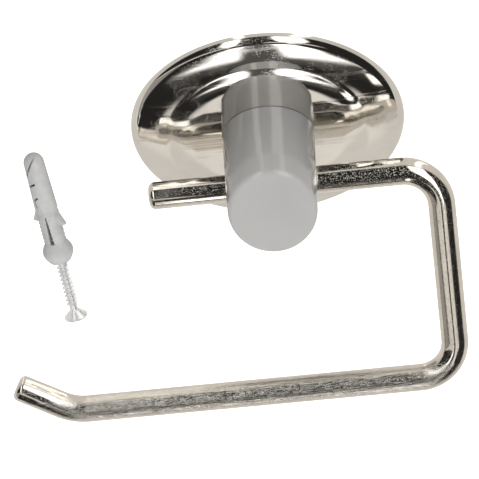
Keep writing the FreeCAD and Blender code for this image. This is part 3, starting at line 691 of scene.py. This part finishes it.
def roundEnd(tip, heading, growing):  # the bar's rounded end, as a quarter circle of small rings
    full, soft = wire["radius"], wire["endRound"]
    rings = [(full - soft + soft * math.sin(a), soft * (1 - math.cos(a)))
             for a in [math.pi / 2 * k / wire["endSteps"] for k in range(wire["endSteps"] + 1)]]
    if not growing:
        rings = rings[::-1]
    for (r0, s0), (r1, s1) in zip(rings, rings[1:]):
        step = heading * abs(s1 - s0)
        tip = tip + step
        pushRing(step)
        sizeRing(r1 / r0, tip)
    return tip


def buildWire():
    full, soft, half = wire["radius"], wire["endRound"], wire["neckHalf"]
    ahead = Vector((1, 0, 0))
    start = Vector((-wire["left"], 0, 0))
    bpy.ops.object.select_all(action="DESELECT")
    bpy.ops.mesh.primitive_circle_add(vertices=wire["sides"], radius=full - soft, fill_type="NOTHING",
                                      location=start, rotation=(0, math.pi / 2, 0))
    obj = bpy.context.object
    bpy.ops.object.transform_apply(location=True, rotation=True, scale=True)
    bpy.ops.object.mode_set(mode="EDIT")
    bpy.ops.mesh.select_all(action="SELECT")
    here = roundEnd(start, ahead, True)
    pushRing(Vector((-half - here.x, 0, 0)))
    neck = wire["neckRadius"] / full
    pushRing(Vector((0, 0, 0)))
    sizeRing(neck, (-half, 0, 0))
    pushRing(Vector((2 * half, 0, 0)))
    pushRing(Vector((0, 0, 0)))
    sizeRing(1 / neck, (half, 0, 0))
    bend = wire["bend"]
    corner = wire["right"] - bend
    pushRing(Vector((corner - half, 0, 0)))
    bpy.ops.mesh.spin(steps=wire["bendSteps"], angle=-math.pi / 2,
                      center=(corner, 0, -bend), axis=(0, 1, 0))
    pushRing(Vector((0, 0, -(wire["drop"] - 2 * bend))))
    bpy.ops.mesh.spin(steps=wire["bendSteps"], angle=-math.pi / 2,
                      center=(corner, 0, bend - wire["drop"]), axis=(0, 1, 0))
    rise = math.radians(wire["tipRise"])
    setback = wire["tipBend"] * math.tan(rise / 2)
    toe = wire["right"] - wire["barLength"] + setback
    pushRing(Vector((toe - corner, 0, 0)))
    bpy.ops.mesh.spin(steps=wire["bendSteps"] // 2, angle=-rise,
                      center=(toe, 0, wire["tipBend"] - wire["drop"]), axis=(0, 1, 0))
    heading = Vector((-math.cos(rise), 0, math.sin(rise)))
    bent = Vector((toe - wire["tipBend"] * math.sin(rise), 0,
                   wire["tipBend"] * (1 - math.cos(rise)) - wire["drop"]))
    run = heading * (wire["tipRun"] - setback - soft)
    pushRing(run)
    roundEnd(bent + run, heading, False)
    bpy.ops.mesh.select_all(action="SELECT")
    bpy.ops.mesh.fill_holes(sides=wire["sides"] + 1)
    bpy.ops.object.mode_set(mode="OBJECT")
    cleanMesh(obj)
    hang = Matrix.Translation(hinge) @ Matrix.Rotation(math.radians(-wire["swing"]), 4, "X")
    placed(obj, hang)
    finishPiece(obj, "wire_arm", wireChrome, swingSide, smooth=40)


buildWire()
# the wire keeper has a plain shape, so its CAD node is shown
frame["nodes"]["wire_keeper"].data.materials.clear()
frame["nodes"]["wire_keeper"].data.materials.append(whiteNylon)
print("wire ready")


laid = {"lean": 27.5, "turn": 5.7, "along": 0.063, "aside": 0.0636, "height": 0.0035}


def laidPlace():  # the mouth of the plug, with +Z running out of it along the screw
    lean = math.radians(laid["lean"])
    turn = math.radians(laid["turn"])
    down = Vector((0, -math.sin(lean), -math.cos(lean)))
    out = Vector((0, -math.cos(lean), math.sin(lean)))
    mouth = Vector((-laid["aside"], 0, rosette["edgeRadius"]))
    mouth = mouth + down * laid["along"] + out * laid["height"]
    axis = down * math.cos(turn) + Vector((math.sin(turn), 0, 0))
    side = out.cross(axis).normalized()
    up = axis.cross(side)
    return Matrix.Translation(mouth) @ Matrix((side, up, axis)).transposed().to_4x4()


screw = {
    "showing": 0.0188, "length": 0.040, "radius": 0.00175, "core": 0.00118, "headRadius": 0.0035,
    "pitch": 0.00135, "plainNeck": 0.0018, "tipRadius": 0.00012, "tipLength": 2.6,  # tip in core radii
    "rim": 0.00035, "edge": 0.0001, "sinkTrim": 0.0002, "neckFillet": (0.00012, 0.0004),
    "threadStart": 0.0010, "recessSpan": 0.0042, "recessWidth": 0.0010, "recessDepth": 0.0021,
    "recessFoot": (0.35, 0.55), "steps": 96,
}
plug = {
    "radius": 0.0033, "length": 0.035, "tipRound": 0.0030, "tipShare": 0.90, "tipSteps": 8,
    "collarRadius": 0.0045, "collarLength": 0.0062, "collarSteps": 14, "steps": 96,
    "boreRadius": 0.00185, "boreDepth": 0.028, "boreCone": 0.001,
    "mouthEdge": 0.0004, "mouthFlare": 0.0003,
    "ribbed": 0.0175, "teeth": 9, "toothDepth": 0.00022,
    "toothParts": (0.4, 0.25, 0.4),  # where a groove starts, then its foot, in rib pitches
    "cutLength": 0.004, "cutMiddle": 0.0035,  # how far the slots and slits go in
    "slotTurn": 99.0, "slotWidth": 0.0013, "slotNear": 0.0066, "slotFar": 0.0155, "slotTaper": 0.25,
    "slitWidth": 0.0006,
    "slits": [(0.0199, 134, 0.0022, 10), (0.0215, 126, 0.0019, -55), (0.0259, 130, 0.0026, -68),
              (0.0320, 110, 0.0078, -33)],  # station, turn, length, lean
    "finTurn": 28.0, "finNear": 0.0118, "finFar": 0.0160, "finWidth": 0.0021, "finDepth": 0.0030,
    "finSunk": 0.0003, "finStagger": 0.0012, "finSpring": 0.0009, "finBack": 0.0005, "finTaper": 0.55,
    "finHeel": 0.0013,
}


def buildScrew():
    core, head, edge = screw["core"], screw["headRadius"], screw["edge"]
    wider, longer = screw["neckFillet"]
    top = screw["showing"]
    low = top - screw["length"]
    sink = head - core - screw["sinkTrim"]
    outline = [(0, low), (screw["tipRadius"], low), (core, low + screw["tipLength"] * core),
               (core, top - sink - screw["rim"] - longer), (core + wider, top - sink - screw["rim"]),
               (head, top - screw["rim"]), (head, top - edge), (head - edge, top), (0, top)]
    body = turnPiece("screwShape", outline, "Z", screw["steps"])
    for turn in (0, math.pi / 2):
        arm = block((screw["recessSpan"], screw["recessWidth"], 2 * screw["recessDepth"]), (0, 0, top))
        for vertex in arm.data.vertices:  # the recess narrows towards its foot
            if vertex.co.z < 0:
                vertex.co.x *= screw["recessFoot"][0]
                vertex.co.y *= screw["recessFoot"][1]
        arm.rotation_euler = (0, 0, turn + math.pi / 4)
        carve(body, arm)
    ridge = threadRidge("screwThread", core, screw["radius"], screw["pitch"],
                        low + screw["threadStart"], top - sink - screw["plainNeck"])
    joined(body, ridge)
    placed(body, laidPlace())
    finishPiece(body, "wall_screw", brightZinc, wallSide, smooth=28)


def cutPlug(body, size, station, turn, lean=0.0, taper=1.0):
    tool = block((plug["cutLength"], *size), (plug["cutMiddle"], 0, -station), (math.radians(lean), 0, 0))
    for vertex in tool.data.vertices:
        if vertex.co.z < 0:
            vertex.co.y *= taper
    placed(tool, Matrix.Rotation(math.radians(turn), 4, "Z"))
    carve(body, tool)


def addFin(body, side):  # a fin that springs out and bites
    near, far = plug["finNear"], plug["finFar"]
    place = (side * (plug["radius"] - plug["finSunk"]), 0,
             -(near + far) / 2 - plug["finStagger"] * (side < 0))
    fin = block((plug["finDepth"], plug["finWidth"], far - near), place)
    for vertex in fin.data.vertices:
        outward = vertex.co.x * side > 0
        if outward and vertex.co.z > 0:
            vertex.co.x += side * plug["finSpring"]
            vertex.co.z -= plug["finBack"]
            vertex.co.y *= plug["finTaper"]
        if outward and vertex.co.z < 0:
            vertex.co.x -= side * plug["finHeel"]
    placed(fin, Matrix.Rotation(math.radians(plug["finTurn"]), 4, "Z"))
    carve(body, fin, "UNION")


def plugOutline():
    r, length, collar = plug["radius"], plug["length"], plug["collarRadius"]
    bore, depth, edge = plug["boreRadius"], plug["boreDepth"], plug["mouthEdge"]
    span, deep = plug["collarLength"], plug["toothDepth"]
    slim, nose = r * plug["tipShare"], plug["tipRound"]
    outline = [(bore, -depth), (0, -depth - plug["boreCone"]), (0, -length)]
    outline += [(slim * math.sin(a), -length + nose * (1 - math.cos(a)))
                for a in [math.pi / 2 * k / plug["tipSteps"] for k in range(1, plug["tipSteps"] + 1)]]
    outline += [(r, -plug["ribbed"])]
    pitch = (plug["ribbed"] - span) / plug["teeth"]
    first, slope, foot = plug["toothParts"]
    for k in range(plug["teeth"]):  # fine ribs behind the collar
        z = -plug["ribbed"] + pitch * (k + first)
        outline += [(r, z), (r - deep, z + slope * pitch), (r - deep, z + foot * pitch)]
    outline += [(r, -span)]
    outline += [(r + (collar - r) * math.sin(a), -span + (span - edge) * a / math.pi)
                for a in [math.pi * k / plug["collarSteps"] for k in range(1, plug["collarSteps"])]]
    outline += [(r, -edge), (r - edge, 0), (bore + plug["mouthFlare"], 0), (bore, -edge)]
    return outline


def buildPlug():
    body = turnPiece("plugShape", plugOutline(), "Z", plug["steps"])
    near, far = plug["slotNear"], plug["slotFar"]
    for half in (0, 180):  # a wedge slot and a row of short slits on two opposite sides
        cutPlug(body, (plug["slotWidth"], far - near), (near + far) / 2, plug["slotTurn"] + half,
                taper=plug["slotTaper"])
        for station, turn, length, lean in plug["slits"]:
            cutPlug(body, (plug["slitWidth"], length), station, turn + half, lean)
    for side in (-1, 1):
        addFin(body, side)
    cleanMesh(body, 1e-6)
    placed(body, laidPlace())
    finishPiece(body, "wall_plug", plugNylon, wallSide, smooth=32)


buildScrew()
buildPlug()
print("plug and screw ready")


studio = {
    "floorLevel": -0.30, "floorSize": 6.0, "floorColour": (0.96, 0.96, 0.96, 1), "floorGlow": 0.45,
    "floorShade": 0.985, "floorClouds": 3.0, "floorRough": 0.9,
    "keyPower": 13.0, "keySize": 0.7, "keyPlace": (-0.10, -1.1, 0.60),
    "fillPower": 6.0, "fillSize": 0.8, "fillPlace": (0.9, -0.4, 0.7),
    "boxLight": 2.1, "tableLight": 0.84,
}
camera = {
    "azimuth": 6.37, "elevation": 52.97, "roll": -10.70, "across": 0.00823, "up": 0.03429,
    "distance": 0.81, "lens": 207.86, "sensor": 36, "farthest": 50,
}


def layFloor():
    bpy.ops.object.select_all(action="DESELECT")
    bpy.ops.mesh.primitive_plane_add(size=studio["floorSize"], location=(0, 0, studio["floorLevel"]))
    floor = bpy.context.object
    floor.name = "floor"
    material, recipe, place = newFinish("paleFloor")
    tone = recipe.noise(place, studio["floorClouds"], 2.0)
    shade = [c * studio["floorShade"] for c in studio["floorColour"][:3]] + [1]
    colour = recipe.mix(tone, studio["floorColour"], shade)
    values = {"Base Color": colour, "Roughness": studio["floorRough"],
              "Emission Color": colour, "Emission Strength": studio["floorGlow"]}
    closeFinish(recipe, values)
    floor.data.materials.append(material)
    floor.visible_glossy = False


def softLight(name, power, size, place):  # turned to the middle of the rosette
    bpy.ops.object.light_add(type="AREA", location=place)
    lamp = bpy.context.object
    lamp.name = name
    lamp.data.energy = power
    lamp.data.size = size
    lamp.rotation_euler = (-Vector(place)).to_track_quat("-Z", "Y").to_euler()
    lamp.visible_glossy = False


room = {  # pairs are the edges of a soft step, sideways from -1 to 1 or upwards in degrees
    "lowRise": (-38.0, -32.0), "highRise": (-20.0, 60.0), "openRise": (-16.0, -6.0),
    "leftInner": (0.075, 0.10), "leftOuter": (0.24, 0.32),
    "leftLow": 0.12, "leftHigh": 0.28, "leftOpen": 0.13,  # how each rise moves the edges
    "rightInner": (-0.012, 0.018), "rightOuter": (0.22, 0.29),
    "rightLow": 0.14, "rightHigh": 0.45, "rightOpen": 0.17,
    "boxFoot": (-37.3, -34.0), "boxTop": (84.0, 104.0),
    "beltFoot": (8.0, 11.0), "beltTop": (18.5, 22.0),
    "sideEnd": (0.42, 0.56), "sideGap": (0.07, 0.11), "sideShift": 0.06, "sideLight": 0.80,
    "gapWidth": (0.05, 0.30), "gapFoot": (-42.0, -38.0), "gapTop": (-20.0, 10.0), "gapLight": 0.075,
    "tableEdge": (-47.5, -44.5), "tableNear": (-56.0, -52.5), "tableShares": (0.84, 0.16),
    "cornerWidth": (0.12, 0.22), "cornerShift": 0.05, "cornerDrop": 6.0,
    "wingStart": (0.55, 0.75), "wingTop": (0.0, 10.0), "wingFoot": (-60.0, -50.0), "wingLight": 0.32,
    "stripes": [(-0.22, 0.04, 0.08), (0.46, 0.06, 0.10)], "stripeLight": 1.6,  # middle, inner, outer
    "wallFoot": (96.0, 106.0), "wallLight": 0.66,
    "glintPlace": (0.21, -41.0), "glintWidth": (0.015, 0.035), "glintHeight": (1.0, 2.2),
    "darkLight": 0.022, "warm": (1.0, 0.955, 0.89, 1),
}


def paintBoxes(across, rise):  # two tall soft boxes, further apart above the openRise
    left = across * -1.0
    low = rise.smooth(*room["lowRise"])
    high = rise.smooth(*room["highRise"])
    start = rise.smooth(*room["openRise"])
    leftBox = (left - start * room["leftOpen"]).smooth(*room["leftInner"])
    leftEnd = left + low * room["leftLow"] - high * room["leftHigh"]
    leftBox = leftBox * (1.0 - leftEnd.smooth(*room["leftOuter"]))
    rightBox = (across - start * room["rightOpen"]).smooth(*room["rightInner"])
    rightEnd = across + low * room["rightLow"] - high * room["rightHigh"]
    rightBox = rightBox * (1.0 - rightEnd.smooth(*room["rightOuter"]))
    boxes = (leftBox + rightBox) * rise.smooth(*room["boxFoot"])
    return boxes * (1.0 - rise.smooth(*room["boxTop"]))


def paintRoom():  # a dark room with two tall soft boxes, a light wall behind and a pale table
    world = bpy.data.worlds.new("studioRoom")
    scene.world = world
    world.use_nodes = True
    recipe = Recipe(world.node_tree)
    aim = recipe.node("ShaderNodeTexCoord").out("Generated")
    parts = recipe.node("ShaderNodeSeparateXYZ", {}, {"Vector": aim})
    across = parts.out("X")
    front = parts.out("Y") * -1.0
    rise = parts.out("Z").angle(front) * (180 / math.pi)  # 0 in front, 90 overhead, -90 below
    belt = rise.smooth(*room["beltFoot"]) * (1.0 - rise.smooth(*room["beltTop"]))
    boxes = paintBoxes(across, rise) * (1.0 - belt)
    side = belt * (1.0 - across.smooth(*room["sideEnd"]))
    side = side * (across + room["sideShift"]).size().smooth(*room["sideGap"])
    middle = (1.0 - across.size().smooth(*room["gapWidth"])) * rise.smooth(*room["gapFoot"])
    middle = middle * (1.0 - rise.smooth(*room["gapTop"]))
    corner = (across + room["cornerShift"]).size().smooth(*room["cornerWidth"])
    far, nearer = room["tableShares"]
    table = 1.0 - (rise + corner * room["cornerDrop"]).smooth(*room["tableEdge"])
    table = table * (rise.smooth(*room["tableNear"]) * nearer + far)
    wing = (across * -1.0).smooth(*room["wingStart"]) * (1.0 - rise.smooth(*room["wingTop"]))
    wing = wing * rise.smooth(*room["wingFoot"])
    stripes = 0.0
    for centre, inner, outer in room["stripes"]:
        stripes = (1.0 - (across - centre).size().smooth(inner, outer)) + stripes
    behind = rise.smooth(*room["wallFoot"]) * (stripes * room["stripeLight"] + 1.0)
    glintAcross, glintRise = room["glintPlace"]
    glint = 1.0 - (across - glintAcross).size().smooth(*room["glintWidth"])
    glint = glint * (1.0 - (rise - glintRise).size().smooth(*room["glintHeight"]))
    light = (boxes + glint) * studio["boxLight"] + side * room["sideLight"]
    light = light + wing * room["wingLight"] + middle * room["gapLight"]
    light = light + table * studio["tableLight"] + behind * room["wallLight"] + room["darkLight"]
    seen = recipe.node("ShaderNodeLightPath").out("Is Camera Ray")  # the camera sees plain white
    light = light * (1.0 - seen) + seen
    tint = recipe.mix(boxes + seen, room["warm"], (1, 1, 1, 1))
    glow = recipe.node("ShaderNodeBackground", {}, {"Color": tint, "Strength": light}).out()
    recipe.node("ShaderNodeOutputWorld", {}, {"Surface": glow})


def setCamera():
    a, e, roll = (math.radians(camera[k]) for k in ("azimuth", "elevation", "roll"))
    back = Vector((math.sin(a) * math.cos(e), -math.cos(a) * math.cos(e), math.sin(e)))
    right = Vector((math.cos(a), math.sin(a), 0))
    up = Vector((-math.sin(e) * math.sin(a), math.sin(e) * math.cos(a), math.cos(e)))
    across = right * math.cos(roll) + up * math.sin(roll)
    upward = up * math.cos(roll) - right * math.sin(roll)
    place = back * camera["distance"] - across * camera["across"] - upward * camera["up"]
    bpy.ops.object.camera_add()
    eye = bpy.context.object
    eye.data.sensor_width = camera["sensor"]
    eye.data.lens = camera["lens"]
    eye.data.clip_end = camera["farthest"]
    eye.matrix_world = Matrix.Translation(place) @ Matrix((across, upward, back)).transposed().to_4x4()
    scene.camera = eye


layFloor()
softLight("keyLight", studio["keyPower"], studio["keySize"], studio["keyPlace"])
softLight("fillLight", studio["fillPower"], studio["fillSize"], studio["fillPlace"])
paintRoom()
setCamera()
scene.view_settings.view_transform = "Standard"
print("studio ready")
